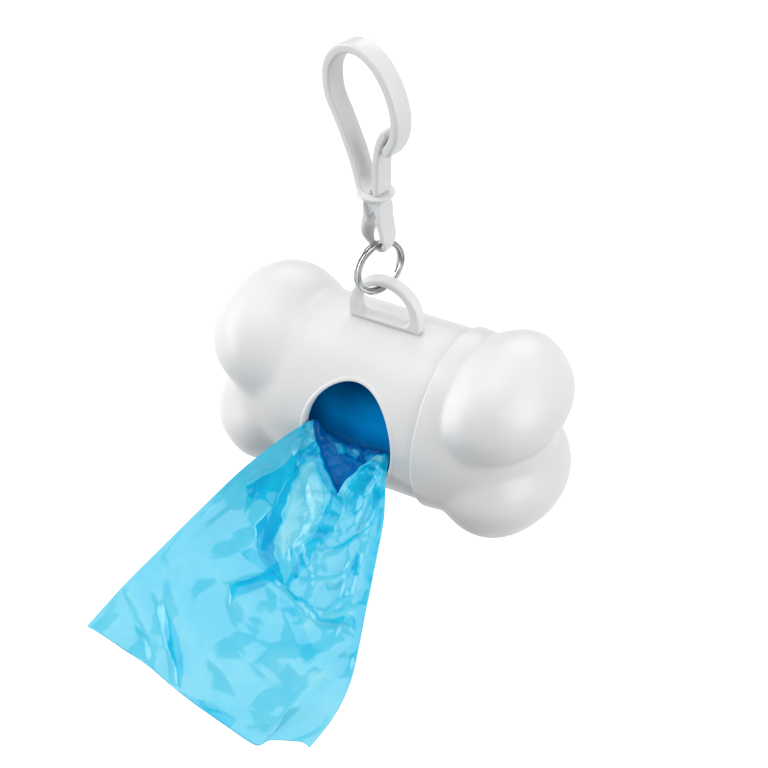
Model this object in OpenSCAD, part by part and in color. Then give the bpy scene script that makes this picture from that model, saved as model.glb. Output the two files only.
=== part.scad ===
// Bone-shaped dispenser for rolls of dog waste bags, hung from a split ring and a snap hook.
// Millimetres. +Z is up and -Y is the front, where the bags come out; X runs along the bone.
// The whole chain hangs from the hook, and the inner top of its loop (the bight) is the origin:
// hook, then split ring, then carry loop, then the dispenser with its roll of bags.

/* [Barrel] */
// Outer radius of the barrel
barrel_r = 20; // [19:0.25:22]
// From the barrel's middle to the rim of the end cap
barrel_half = 15.8; // [14:0.2:18]
// Wall of the body and its closed end
body_wall = 2.2; // [2:0.1:2.4]

/* [Bone ends] */
// From the barrel's middle to the middle of each lobe
lobe_x = 27.6; // [27:0.1:30]
// Height of each lobe's middle above and below the axis
lobe_z = 9.1; // [8.6:0.1:10.5]
// How far a lobe's long axis leans out from upright
lobe_lean = 51.5; // [40:0.5:60]
// Half the length of a lobe along its long axis
lobe_half_long = 14.9; // [14.5:0.1:16]
// Half the thickness of a lobe across its long axis
lobe_half_across = 13; // [12.8:0.1:14.5]
// Half the depth of a lobe from front to back
lobe_half_y = 18.9; // [18:0.1:20]
// Reach of the round core between the lobes, from the rim outwards
core_reach = 24; // [23.5:0.1:28]

/* [End cap] */
// How far the cap's rim stands out over the barrel
cap_step = 0.9; // [0.7:0.1:1.6]
// Wall of the cap
cap_wall = 1.7; // [1.4:0.1:1.8]
// Length of the body's neck inside the cap
neck_len = 5.4; // [4:0.2:6]
// Gap between the neck and the cap, all round
neck_fit = 0.1; // [0.05:0.01:0.15]
// Width of the key that lines the lobes up
key_w = 3; // [2:0.25:5]
// Height of the key
key_h = 0.7; // [0.5:0.1:0.9]

/* [Opening] */
// Half the width of the front opening
open_half_w = 11.6; // [10:0.2:12.5]
// Half the height of the front opening
open_half_h = 13.2; // [11:0.2:14]
// Height of the opening's middle above the axis
open_z = 1.1; // [0:0.1:2]
// Width of the recessed lip round the opening
lip_w = 0.7; // [0.3:0.1:1.2]
// Depth of the recessed lip
lip_d = 0.5; // [0.2:0.1:0.9]

/* [Carry loop] */
// Outer half width of the carry loop
loop_half_w = 8.9; // [8:0.05:10]
// Height of the loop above the barrel
loop_rise = 11.85; // [11:0.05:14]
// Thickness of the loop from front to back
loop_depth = 3; // [2.4:0.1:3.4]
// Thickness of the arch at its top
arch_t = 1.8; // [1.4:0.1:2.2]
// Width of the posts at the loop's sides
post_w = 2.6; // [2.1:0.1:3]
// Thickness of the loop's foot above the barrel
foot_t = 1.3; // [1:0.1:2]

/* [Split ring] */
// Outer diameter of the split ring
ring_od = 13; // [12.4:0.1:14.5]
// Width of the ring's flat wire, measured outwards
wire_w = 1.2; // [1:0.05:1.3]
// Thickness of the wire along the ring's axis
wire_t = 0.7; // [0.5:0.05:0.8]
// Gap between the ring's two turns
turn_gap = 0.1; // [0.08:0.02:0.2]
// How far the ring hangs to the left of the barrel's middle
ring_side = 2.5; // [0:0.1:2.6]
// How far the ring's axis is turned from the bone's axis
ring_turn = -23; // [-40:1:10]

/* [Snap hook] */
// Width of the hook's loop
hook_w = 21.4; // [19:0.2:24]
// Height of the loop above the collar
hook_h = 33.4; // [30:0.2:40]
// Width of the hook's strip from front to back
hook_depth = 4.6; // [3.8:0.1:5.4]
// Thickness of the strip
strip_t = 2.2; // [1.8:0.1:2.6]
// Radius of the collar
collar_r = 4.1; // [3.8:0.1:4.8]
// Thickness of the collar
collar_t = 1.7; // [1:0.1:2.4]
// Height of the eye under the collar
eye_h = 13.3; // [12:0.1:17]
// Width of the neck between collar and eye
throat_w = 5.2; // [4.8:0.1:5.8]
// Width of the eye
eye_w = 6.9; // [6:0.1:7.4]
// Width of the slot in the eye
slot_w = 3; // [2.6:0.1:3.4]
// Height of the bar at the bottom of the eye
eye_bar = 1; // [0.9:0.05:1.2]
// Depth of that bar from front to back
bar_depth = 1.8; // [1.6:0.1:2]
// How far the hook's plane is turned from the bone's axis
hook_turn = -15; // [-30:1:0]
// Thickness of the sprung gate
gate_t = 1.9; // [1.4:0.1:2.2]
// Depth of the gate from front to back
gate_depth = 4.4; // [3:0.1:5]

/* [Bags] */
// Radius of the full roll of bags
roll_r = 14.4; // [12:0.2:14.6]
// Length of the roll, which is the width of a bag folded flat
roll_len = 56; // [50:0.5:56.5]
// Outer radius of the roll's cardboard core
core_r = 6.6; // [5:0.1:8]
// Wall of the cardboard core
core_wall = 0.9; // [0.6:0.1:1.4]
// How far the pulled bag reaches from the opening
bag_len = 64; // [40:1:90]
// Angle at which the pulled bag falls towards its hem
bag_fall = 22; // [15:1:30]
// Thickness of the pulled bag's folded film
bag_t = 0.8; // [0.6:0.1:1.2]
// How far its left edge turns up at the opening
bag_curl = 7.2; // [4:0.2:8]
// How far its middle sags between opening and hem
bag_sag = 1.3; // [0:0.1:3]

/* [Hidden] */
collar_side = -0.5;   // the collar sits a little towards the hook's back
seat_gap = 0.3;       // clearance between pieces that move against each other
throat_h = 3;         // height of the solid neck between collar and eye
throat_sink = 1;      // the neck's round root reaches this far down from the collar
eye_inset = 0.1;      // the eye is this much shallower than the hook's strip, on each side
round_fn = 96;        // facets of the large rounds
small_fn = 32;        // facets of the small rounds
hinge_gap = 0.06;     // under the gate's round foot
white = "whitesmoke";
steel = "silver";
film = "deepskyblue";
board = "burlywood";

// The hook's loop as fractions of its width and height, from the collar round to the nose.
HOOK_LINE = [
    [-0.14, -0.02], [-0.25, 0.20], [-0.42, 0.42], [-0.56, 0.59], [-0.56, 0.78], [-0.40, 0.92],
    [-0.17, 0.967], [0.065, 0.91], [0.235, 0.78], [0.325, 0.62], [0.31, 0.475], [0.22, 0.36]
];
bight_at = [-0.17, 0.967];      // the loop's highest point, in the same fractions
// The gate's line: from its hinge up, then over to the inner side of the nose.
GATE_LINE = [
    [0.052, (gate_t / 2 + hinge_gap) / hook_h],
    [0.062, 0.14], [0.07, 0.25], [0.095, 0.34], [0.14, 0.42], [0.183, 0.47]
];
line_steps = 6;                 // steps between two points of those lines

// Heights of the chain, measured down from the origin.
bight = [hook_w * bight_at.x, hook_h * bight_at.y - strip_t / 2];
collar_z = -bight.y;                                   // top face of the collar
eye_z = collar_z - collar_t - eye_h + eye_bar / 2;     // middle of the eye's bar
ring_in = ring_od / 2 - wire_w;                        // inner radius of the split ring
eye_seat = 0.2;       // the ring rides this far off the bar, so that it can rock
arch_seat = 1.05;     // and this far under the arch's crown, because it hangs beside it
ring_z = eye_z + eye_bar / 2 + eye_seat - ring_in;
arch_z = ring_z - ring_in + arch_seat + arch_t / 2;    // middle of the arch's bar
eye_at = [-bight.x * cos(hook_turn), -bight.x * sin(hook_turn)];
barrel_at = [
    eye_at.x + ring_side,
    eye_at.y,
    arch_z + arch_t / 2 - loop_rise - barrel_r
];
bore_r = barrel_r - body_wall;
cap_r = barrel_r + cap_step;
neck_r = cap_r - cap_wall - neck_fit;
loop_x = -0.9;        // the carry loop and the opening sit a little off the barrel's middle
open_x = -0.4;
roll_z = -(bore_r - roll_r - seat_gap);                // the roll rests on the bore's floor
edge_c = 0.6;         // chamfer of the carry loop's edges
foot_r = 2.2;         // radius of the hole's lower corners
shell_blend = 16;     // how tightly lobes and core are blended: higher is tighter
cap_blend = 24;
core_power = 1.95;    // fullness of the core's end: 2 would make it a plain dome
lobe_power = 2.36;    // fullness of a lobe seen from the front: 2 would make it an ellipse
blend_run = 7;        // the lobes fade in over this length from the rim
rim_gap = 0.1;        // seam between the cap's rim and the body
end_sink = 0.06;      // a lobed end starts this far under the round face it joins

// ---------- shared geometry ----------

function smooth(t) = let(c = min(1, max(0, t))) c * c * (3 - 2 * c);
function lobe_rho(p, side, inset) =
    let(x = p.x - lobe_x)
    let(z = side * p.z - lobe_z)
    let(across = x * cos(lobe_lean) - z * sin(lobe_lean))
    let(along = x * sin(lobe_lean) + z * cos(lobe_lean))
    let(flat = pow(
        pow(abs(across) / (lobe_half_across - inset), lobe_power)
        + pow(abs(along) / (lobe_half_long - inset), lobe_power),
        1 / lobe_power))
    norm([flat, p.y / (lobe_half_y - inset)]);
function core_rho(p, x0, r, inset) = pow(
    pow(abs(p.x - x0) / (core_reach + barrel_half - x0 - inset), core_power)
    + pow(norm([p.y, p.z]) / r, core_power),
    1 / core_power);
// Over 1 inside the bone's end and under 1 outside it.
function end_field(p, x0, r, inset, blend) =
    pow(core_rho(p, x0, r, inset), -blend)
    + smooth((p.x - x0) / blend_run) * (
        pow(lobe_rho(p, 1, inset), -blend)
        + pow(lobe_rho(p, -1, inset), -blend));
function end_exit(d, x0, r, inset, blend, low, high, left) =
    let(t = (low + high) / 2)
    left == 0 ? t
    : end_field([x0 + d.x * t, d.y * t, d.z * t], x0, r, inset, blend) > 1
        ? end_exit(d, x0, r, inset, blend, t, high, left - 1)
        : end_exit(d, x0, r, inset, blend, low, t, left - 1);
function end_point(a, b, x0, r, inset, blend) =
    let(d = [cos(a), sin(a) * cos(b), sin(a) * sin(b)])
    let(t = end_exit(d, x0, r, inset, blend, 1, 2 * core_reach, 22))
    [x0 + d.x * t, d.y * t, d.z * t];

// One lobed end as a solid of rays from the middle of its rim: core of radius r at x0,
// two lobes, all drawn in by inset.
module bone_end(x0, r, inset, blend, rows, around) {
    points = concat(
        [for (j = [0 : rows - 1]) for (i = [0 : around - 1])
            end_point(90 * (1 - j / rows), 360 * i / around, x0, r, inset, blend)],
        [end_point(0, 0, x0, r, inset, blend)]);
    top = rows * around;
    faces = concat(
        [[for (i = [0 : around - 1]) i]],
        [for (j = [0 : rows - 2]) for (i = [0 : around - 1]) let(n = (i + 1) % around)
            [j * around + i, (j + 1) * around + i, (j + 1) * around + n]],
        [for (j = [0 : rows - 2]) for (i = [0 : around - 1]) let(n = (i + 1) % around)
            [j * around + i, (j + 1) * around + n, j * around + n]],
        [for (i = [0 : around - 1]) let(n = (i + 1) % around)
            [top - around + i, top, top - around + n]]);
    polyhedron(points, faces, convexity = 4);
}

// Smooth line through points, line_steps to each stretch.
function spline_at(p, i, t) =
    let(a = p[max(0, i - 1)])
    let(b = p[i])
    let(c = p[i + 1])
    let(d = p[min(len(p) - 1, i + 2)])
    0.5 * (2 * b + (c - a) * t + (2 * a - 5 * b + 4 * c - d) * t * t
        + (3 * b - a - 3 * c + d) * t * t * t);
function spline(p) = concat(
    [for (i = [0 : len(p) - 2]) for (k = [0 : line_steps - 1]) spline_at(p, i, k / line_steps)],
    [p[len(p) - 1]]);
function side_of(p, i, off) =
    let(t = p[min(len(p) - 1, i + 1)] - p[max(0, i - 1)])
    let(n = [-t.y, t.x] / norm(t))
    p[i] + n * off;

// A strip of even thickness along a line in the hook's own plane, with a round tip.
module strip(line, t, depth) {
    p = spline([for (q = line) [q.x * hook_w, q.y * hook_h]]);
    last = len(p) - 1;
    run = p[last] - p[last - 1];
    heading = atan2(run.y, run.x);
    rotate([90, 0, 0])
        linear_extrude(depth, center = true)
            polygon(concat(
                [for (i = [0 : last]) side_of(p, i, t / 2)],
                [for (a = [75 : -15 : -75]) p[last] + t / 2 * [cos(heading + a), sin(heading + a)]],
                [for (i = [last : -1 : 0]) side_of(p, i, -t / 2)]));
}

module along_x(from, to, r) {
    translate([from, 0, 0])
        rotate([0, 90, 0])
            cylinder(h = to - from, r = r, $fn = round_fn);
}

module rounded_bar(w, h, r) {
    square([w - 2 * r, h], center = true);
    square([w, h - 2 * r], center = true);
    for (x = [-1, 1])
        for (y = [-1, 1])
            translate([x * (w / 2 - r), y * (h / 2 - r)])
                circle(r = r, $fn = small_fn);
}

// Places: the hook's frame has its collar's top face at z = 0.
module in_hook() {
    rotate([0, 0, hook_turn])
        translate([-bight.x, 0, -bight.y])
            children();
}

module in_dispenser() {
    translate(barrel_at)
        children();
}

// ---------- snap hook ----------

module eye() {
    low = -collar_t - eye_h;
    bar_z = low + eye_bar / 2;
    cheek = (eye_w - slot_w) / 2;
    arc_r = hook_depth / 2 - eye_inset;
    bulb_r = 0.36 * eye_w;
    intersection() {
        union() {
            for (side = [-1, 1])
                translate([side * (eye_w - cheek) / 2, 0, 0])
                    rotate([90, 0, 90])
                        linear_extrude(cheek, center = true) {
                            translate([0, low + arc_r])
                                circle(r = arc_r, $fn = small_fn);
                            translate([-arc_r, low + arc_r])
                                square([2 * arc_r, eye_h - arc_r]);
                        }
            translate([0, 0, bar_z])
                rotate([90, 0, 90])
                    linear_extrude(eye_w, center = true)
                        rounded_bar(bar_depth, eye_bar, eye_bar / 2 - 0.01);
            difference() {
                translate([-throat_w / 2, -arc_r, -collar_t - throat_h])
                    cube([throat_w, 2 * arc_r, throat_h]);
                translate([0, 0, -collar_t - throat_h])
                    rotate([90, 0, 0])
                        cylinder(h = 2 * hook_depth, d = slot_w, center = true, $fn = small_fn);
            }
        }
        rotate_extrude($fn = round_fn) {
            intersection() {
                translate([eye_w / 2 - bulb_r, low + bulb_r])
                    circle(r = bulb_r, $fn = small_fn);
                translate([0, low])
                    square([eye_w, eye_h]);
            }
            polygon([
                [0, low],
                [eye_w / 2 - bulb_r, low],
                [eye_w / 2, low + bulb_r],
                [throat_w / 2, -collar_t - 2 * throat_h / 3],
                [throat_w / 2, -collar_t],
                [0, -collar_t]
            ]);
        }
    }
}

module hook_body() {
    color(white)
        in_hook() {
            strip(HOOK_LINE, strip_t, hook_depth);
            translate([collar_side, 0, -collar_t])
                cylinder(h = collar_t, r = collar_r, $fn = round_fn);
            translate([0, 0, -collar_t - throat_sink])
                cylinder(h = throat_sink + collar_t / 2, d = throat_w, $fn = round_fn);
            eye();
        }
}

module hook_gate() {
    color(white)
        in_hook() {
            strip(GATE_LINE, gate_t, gate_depth);
            translate([GATE_LINE[0].x * hook_w, 0, GATE_LINE[0].y * hook_h])
                rotate([90, 0, 0])
                    cylinder(h = gate_depth, d = gate_t, center = true, $fn = small_fn);
        }
}

// ---------- split ring ----------

// Two turns of flat wire. Only one wire passes the crossing, where it steps over.
module split_ring() {
    start = 20;
    crossing = 15;
    steps = 118;
    step_over = wire_t + turn_gap;
    mid_r = ring_od / 2 - wire_w / 2;
    angles = [for (i = [0 : steps]) start + (720 - 2 * start) * i / steps];
    function level(a) = step_over * (smooth((a - 360 + crossing) / (2 * crossing)) - 0.5);
    function corner(a, k) =
        let(r = mid_r + (k == 0 || k == 3 ? -1 : 1) * wire_w / 2)
        let(h = level(a) + (k < 2 ? -1 : 1) * wire_t / 2)
        [r * cos(a), r * sin(a), h];
    points = [for (a = angles) for (k = [0 : 3]) corner(a, k)];
    faces = concat(
        [[3, 2, 1, 0]],
        [for (i = [0 : steps - 1]) for (k = [0 : 3]) let(n = (k + 1) % 4)
            [4 * i + k, 4 * i + n, 4 * i + 4 + n, 4 * i + 4 + k]],
        [[4 * steps, 4 * steps + 1, 4 * steps + 2, 4 * steps + 3]]);
    color(steel)
        translate([eye_at.x, eye_at.y, ring_z])
            rotate([0, 0, ring_turn])
                rotate([0, 90, 0])
                    rotate([0, 0, 90])
                        polyhedron(points, faces, convexity = 6);
}

// ---------- dispenser ----------

// The hole of the carry loop, round at the top and flat with round corners at the foot.
module loop_hole() {
    r = loop_half_w - post_w;
    low = barrel_r + foot_t;
    top_z = barrel_r + loop_rise - arch_t;
    intersection() {
        translate([0, top_z - r])
            circle(r = r, $fn = round_fn);
        translate([-r, top_z - r])
            square([2 * r, r]);
    }
    translate([-r, low + foot_r])
        square([2 * r, top_z - r - low - foot_r + 0.01]);
    translate([-r + foot_r, low])
        square([2 * (r - foot_r), foot_r * 2]);
    for (side = [-1, 1])
        translate([side * (r - foot_r), low + foot_r])
            circle(r = foot_r, $fn = small_fn);
}

// Half of the loop's section, from its middle to its outer edge at x = w.
module plate_half(w) {
    h = loop_depth / 2;
    polygon([[0, -h], [w - edge_c, -h], [w, -h + edge_c], [w, h - edge_c], [w - edge_c, h], [0, h]]);
}

// What the chamfers take off a rim at x = 0, with the plate on the side of +X.
module rim_cut() {
    h = loop_depth / 2;
    more = 0.1;
    for (side = [-1, 1])
        polygon([
            [-more, side * (h - edge_c - more)],
            [edge_c + more, side * (h + more)],
            [-more, side * (h + more)]
        ]);
}

module carry_loop() {
    bend_z = barrel_r + loop_rise - loop_half_w;
    hole_r = loop_half_w - post_w;
    hole_z = barrel_r + loop_rise - arch_t - hole_r;
    low = barrel_r + foot_t;
    color(white)
        in_dispenser()
            translate([loop_x, 0, 0])
                difference() {
                    union() {
                        translate([0, 0, bend_z])
                            rotate([90, 0, 0])
                                rotate_extrude(angle = 180, $fn = round_fn)
                                    plate_half(loop_half_w);
                        translate([0, 0, barrel_r / 2])
                            linear_extrude(bend_z - barrel_r / 2) {
                                plate_half(loop_half_w);
                                mirror([1, 0])
                                    plate_half(loop_half_w);
                            }
                    }
                    rotate([90, 0, 0])
                        linear_extrude(2 * loop_depth, center = true)
                            loop_hole();
                    for (side = [0, 1])
                        mirror([side, 0, 0]) {
                            translate([0, 0, hole_z])
                                rotate([90, 0, 0])
                                    rotate_extrude(angle = 90, $fn = round_fn)
                                        translate([hole_r, 0])
                                            rim_cut();
                            translate([hole_r, 0, low + foot_r])
                                linear_extrude(hole_z - low - foot_r)
                                    rim_cut();
                            translate([hole_r - foot_r, 0, low + foot_r])
                                rotate([90, 90, 0])
                                    rotate_extrude(angle = 90, $fn = small_fn)
                                        translate([foot_r, 0])
                                            rim_cut();
                            translate([0, 0, low])
                                rotate([0, 90, 0])
                                    linear_extrude(hole_r - foot_r)
                                        rim_cut();
                        }
                    along_x(-2 * loop_half_w, 2 * loop_half_w, barrel_r);
                }
}

module opening(grow) {
    translate([open_x, 0, open_z])
        rotate([90, 0, 0])
            linear_extrude(2 * barrel_r)
                polygon([for (i = [0 : round_fn - 1])
                    [(open_half_w + grow) * cos(360 * i / round_fn),
                     (open_half_h + grow) * sin(360 * i / round_fn)]]);
}

module body_shell() {
    end_x = barrel_half - 0.5;
    color(white)
        in_dispenser()
            difference() {
                union() {
                    along_x(-barrel_half, barrel_half, barrel_r);
                    along_x(0, barrel_half + neck_len, neck_r);
                    mirror([1, 0, 0])
                        bone_end(end_x, barrel_r - end_sink, 0, shell_blend, 18, 48);
                    translate([barrel_half, -key_w / 2, neck_r - 1])
                        cube([neck_len, key_w, 1 + key_h]);
                }
                along_x(-barrel_half, 2 * barrel_half + neck_len, bore_r);
                mirror([1, 0, 0])
                    bone_end(end_x, bore_r - end_sink, body_wall, shell_blend, 12, 32);
                opening(0);
                difference() {
                    opening(lip_w);
                    along_x(-barrel_half, barrel_half, barrel_r - lip_d);
                }
            }
}

module end_cap() {
    rim_x = barrel_half + rim_gap;
    slot = key_w + 2 * seat_gap;
    color(white)
        in_dispenser()
            difference() {
                bone_end(rim_x, cap_r, 0, cap_blend, 18, 48);
                bone_end(rim_x, cap_r - cap_wall - end_sink, cap_wall, cap_blend, 12, 32);
                along_x(rim_x - 1, barrel_half + neck_len + seat_gap, neck_r + neck_fit);
                translate([rim_x - 1, -slot / 2, 0])
                    cube([neck_len + 1 + seat_gap, slot, neck_r + key_h + neck_fit + 0.1]);
            }
}

// ---------- bags ----------

module roll_core() {
    color(board)
        in_dispenser()
            translate([0, 0, roll_z])
                difference() {
                    along_x(-roll_len / 2, roll_len / 2, core_r);
                    along_x(-roll_len, roll_len, core_r - core_wall);
                }
}

module bag_roll() {
    color(film)
        in_dispenser()
            translate([0, 0, roll_z])
                difference() {
                    along_x(-roll_len / 2, roll_len / 2, roll_r);
                    along_x(-roll_len, roll_len, core_r);
                }
}

// The first bag, gathered in the opening with its left edge turned up, and spread flat
// towards its hem. Its sheet is measured in its own sloping plane: x to the left, y outwards.
// Each row: left edge [x, y], right edge [x, y], share of the turned-up edge, share of the sag.
BAG_ROWS = [
    [[0.262, -0.04], [0.33, -0.04], 0.86, 0],
    [[0.428, 0.06], [0.41, 0.06], 0.95, 0],
    [[0.631, 0.19], [0.556, 0.19], 0.4, 0.55],
    [[0.777, 0.34], [0.694, 0.34], 0.02, 0.9],
    [[0.872, 0.505], [0.824, 0.505], 0, 1],
    [[0.985, 0.706], [0.974, 0.706], 0, 0.55],
    [[1.071, 0.895], [0.946, 0.989], 0, 0]
];
bag_columns = 5;
hem_bow = 0.075;      // the hem's middle reaches this share of the bag further out

function bag_point(k, i, side) =
    let(row = BAG_ROWS[k])
    let(u = i / bag_columns)
    let(left = [0.6 * roll_len * row[0].x, bag_len * row[0].y])
    let(right = [-0.44 * roll_len * row[1].x, bag_len * row[1].y])
    let(p = left + (right - left) * u)
    let(bow = k == len(BAG_ROWS) - 1 ? hem_bow * bag_len * 4 * u * (1 - u) : 0)
    let(h = bag_curl * row[2] * (1 - u) * (1 - u) - bag_sag * row[3] * 4 * u * (1 - u))
    [p.x, p.y + bow, h + side * bag_t / 2];

module pulled_bag() {
    exit_y = barrel_r - body_wall + 0.2;
    exit_z = -6;
    rows = len(BAG_ROWS);
    wide = bag_columns + 1;
    under = rows * wide;
    points = [
        for (side = [1, -1])
            for (k = [0 : rows - 1])
                for (i = [0 : bag_columns])
                    bag_point(k, i, side)
    ];
    // the sheet's border, once round
    border = concat(
        [for (i = [0 : bag_columns]) i],
        [for (k = [1 : rows - 1]) k * wide + bag_columns],
        [for (i = [bag_columns - 1 : -1 : 0]) (rows - 1) * wide + i],
        [for (k = [rows - 2 : -1 : 1]) k * wide]);
    cells = [
        for (k = [0 : rows - 2])
            for (i = [0 : bag_columns - 1])
                let(a = k * wide + i)
                [a, a + 1, a + wide, a + wide + 1]
    ];
    faces = concat(
        [for (c = cells) [c[0], c[1], c[3]]],
        [for (c = cells) [c[0], c[3], c[2]]],
        [for (c = cells) [c[3] + under, c[1] + under, c[0] + under]],
        [for (c = cells) [c[2] + under, c[3] + under, c[0] + under]],
        [for (j = [0 : len(border) - 1])
            let(a = border[j])
            let(b = border[(j + 1) % len(border)])
            [b, a, a + under]],
        [for (j = [0 : len(border) - 1])
            let(a = border[j])
            let(b = border[(j + 1) % len(border)])
            [b, a + under, b + under]]);
    color(film)
        in_dispenser()
            translate([open_x, -exit_y, exit_z])
                rotate([bag_fall, 0, 0])
                    rotate([0, 0, 180])
                        polyhedron(points, faces, convexity = 4);
}

hook_body();
hook_gate();
split_ring();
carry_loop();
body_shell();
end_cap();
roll_core();
bag_roll();
pulled_bag();
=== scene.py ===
# %% [markdown]
# A bone-shaped dispenser for dog waste bags, hung from a split ring and a snap hook.
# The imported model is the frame: every piece made here is worked out in its coordinates,
# in millimetres, and lands on the solid that it dresses.

# %% Load the frame
import bmesh
import bpy
import numpy as np
from mathutils import Matrix, Vector


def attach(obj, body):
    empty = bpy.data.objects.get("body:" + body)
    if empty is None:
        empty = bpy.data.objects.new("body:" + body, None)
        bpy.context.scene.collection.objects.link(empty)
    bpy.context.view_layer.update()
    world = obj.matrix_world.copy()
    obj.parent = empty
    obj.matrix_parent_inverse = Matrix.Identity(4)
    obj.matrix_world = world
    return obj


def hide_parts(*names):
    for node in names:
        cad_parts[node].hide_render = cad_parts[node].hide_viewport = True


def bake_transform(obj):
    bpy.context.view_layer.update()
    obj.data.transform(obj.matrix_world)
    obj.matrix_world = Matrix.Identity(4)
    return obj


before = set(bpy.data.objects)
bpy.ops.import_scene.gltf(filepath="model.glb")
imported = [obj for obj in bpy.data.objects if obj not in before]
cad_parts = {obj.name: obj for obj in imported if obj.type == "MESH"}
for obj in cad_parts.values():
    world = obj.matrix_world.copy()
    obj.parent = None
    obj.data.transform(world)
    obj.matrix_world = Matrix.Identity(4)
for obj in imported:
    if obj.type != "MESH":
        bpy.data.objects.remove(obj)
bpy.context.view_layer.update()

# %% [markdown]
# The real thing hangs as a chain, and so does the model, so a few sizes place every piece.
# The inside of the hook's loop is the frame's zero point, the split ring hangs in the
# hook's eye, and the bone's carry loop hangs in the ring. `RING_SLACK` and `ARCH_SEAT` are
# the play between them. `BARREL` is the middle of the barrel, and most shapes are worked
# out around it.

# %% Places along the chain
MM = 0.001
HOOK_TURN, RING_TURN = np.radians(-15), np.radians(-23)
HOOK_W, HOOK_H, STRIP_HALF = 21.4, 33.4, 1.1
CROWN = np.array([-0.17, 0.967])
COLLAR_T, EYE_H, EYE_BAR = 1.7, 13.3, 1.0
RING_HOLE_R, RING_SLACK, RING_SIDE = 5.3, 0.2, 2.5
ARCH_SEAT, ARCH_T, LOOP_RISE, R = 1.05, 1.8, 11.85, 20.0
crown_x, crown_z = CROWN * [HOOK_W, HOOK_H] - [0, STRIP_HALF]
EYE = np.array([-crown_x * np.cos(HOOK_TURN), -crown_x * np.sin(HOOK_TURN)])
COLLAR_Z = -crown_z
RING_Z = COLLAR_Z - COLLAR_T - EYE_H + EYE_BAR + RING_SLACK - RING_HOLE_R
barrel_z = RING_Z - RING_HOLE_R + ARCH_SEAT + ARCH_T - LOOP_RISE - R
BARREL = np.array([EYE[0] + RING_SIDE, EYE[1], barrel_z])
print("barrel's middle", BARREL.round(3), "ring's middle", round(RING_Z, 3))

# %% [markdown]
# The camera comes first, because it decides what has to be right. It looks down at
# 37 degrees from the front right, through a long lens, so that the bone's ends stay round.
# A Track To constraint would aim it too, but three unit vectors also hold its roll.

# %% Camera
CAMERA_FROM_BARREL = np.array([175.979, -309.635, 275.814])
right = Vector((0.8731692, 0.48713799, -0.01649614))
up = Vector((-0.28458213, 0.53699067, 0.79413729))
back = Vector((0.39571271, -0.68872172, 0.60751448))
spot = Vector((BARREL + CAMERA_FROM_BARREL) * MM)
camera = bpy.data.objects.new("camera", bpy.data.cameras.new("camera"))
bpy.context.scene.collection.objects.link(camera)
camera.data.lens = 93.75
camera.data.sensor_width = 36
camera.data.clip_start = 0.01
camera.data.clip_end = 20
camera.matrix_world = Matrix((
    (right.x, up.x, back.x, spot.x), (right.y, up.y, back.y, spot.y),
    (right.z, up.z, back.z, spot.z), (0, 0, 0, 1)))
bpy.context.scene.camera = camera
print("camera", round(float(np.linalg.norm(CAMERA_FROM_BARREL))), "mm from the barrel's middle")

# %% [markdown]
# Every surface is one or more grids of points. This helper lays quads over the grids, joins
# the points that fall together at seams and poles, turns all faces outwards, and keeps
# edges sharper than a chosen angle. It prints how many edges don't have two faces, so a
# hole in a closed piece shows at once.

# %% From grids to a mesh
def surface(name, grids, sharp=40, weld=0.004):
    """One mesh from grids of points (rows, columns, 3) in millimetres; points closer than weld
    become one, and edges over sharp degrees stay sharp."""
    points, quads, start = [], [], 0
    for grid in grids:
        rows, columns = grid.shape[:2]
        i = start + np.arange(rows * columns).reshape(rows, columns)
        quads.append(np.stack([i[:-1, :-1], i[:-1, 1:], i[1:, 1:], i[1:, :-1]], -1).reshape(-1, 4))
        points.append(grid.reshape(-1, 3))
        start += rows * columns
    points, quads = np.concatenate(points), np.concatenate(quads)
    mesh = bpy.data.meshes.new(name)
    mesh.vertices.add(len(points))
    mesh.vertices.foreach_set("co", (points * MM).astype(np.float32).ravel())
    mesh.loops.add(quads.size)
    mesh.loops.foreach_set("vertex_index", quads.astype(np.int32).ravel())
    mesh.polygons.add(len(quads))
    mesh.polygons.foreach_set("loop_start", np.arange(0, quads.size, 4, dtype=np.int32))
    mesh.update(calc_edges=True)
    work = bmesh.new()
    work.from_mesh(mesh)
    bmesh.ops.remove_doubles(work, verts=work.verts, dist=weld * MM)
    bmesh.ops.dissolve_degenerate(work, edges=work.edges, dist=1e-7)
    bmesh.ops.recalc_face_normals(work, faces=work.faces)
    open_edges = sum(1 for edge in work.edges if len(edge.link_faces) != 2)
    work.to_mesh(mesh)
    work.free()
    mesh.polygons.foreach_set("use_smooth", np.ones(len(mesh.polygons), bool))
    mesh.set_sharp_from_angle(angle=np.radians(sharp))
    piece = bpy.data.objects.new(name, mesh)
    bpy.context.scene.collection.objects.link(piece)
    print(name, len(mesh.polygons), "faces,", open_edges, "open edges")
    return piece


def smooth(t):
    """0 below 0, 1 above 1, and the curve 3t^2 - 2t^3 between."""
    t = np.clip(t, 0, 1)
    return t * t * (3 - 2 * t)


# %% [markdown]
# The lobed end is the hard shape of this object: a round core and two egg-shaped lobes,
# moulded into one skin with soft valleys. Sculpting would work, but it wouldn't repeat.
# Here each form has a number rho that is 1 on its surface and grows outwards, and the
# blended skin is where the sum of rho^-m over the three forms is 1. A high m gives a tight
# valley. A ray from the middle of the rim finds that place by halving.

# %% The lobed end
LOBE = {"x": 27.6, "z": 9.1, "lean": np.radians(51.5), "half": np.array([13.0, 18.9, 14.9]),
        "power": 2.36}
CORE_REACH, CORE_POWER, BLEND_RUN, BARREL_HALF = 24.0, 1.95, 7.0, 15.8
HALVINGS = 30


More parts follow.
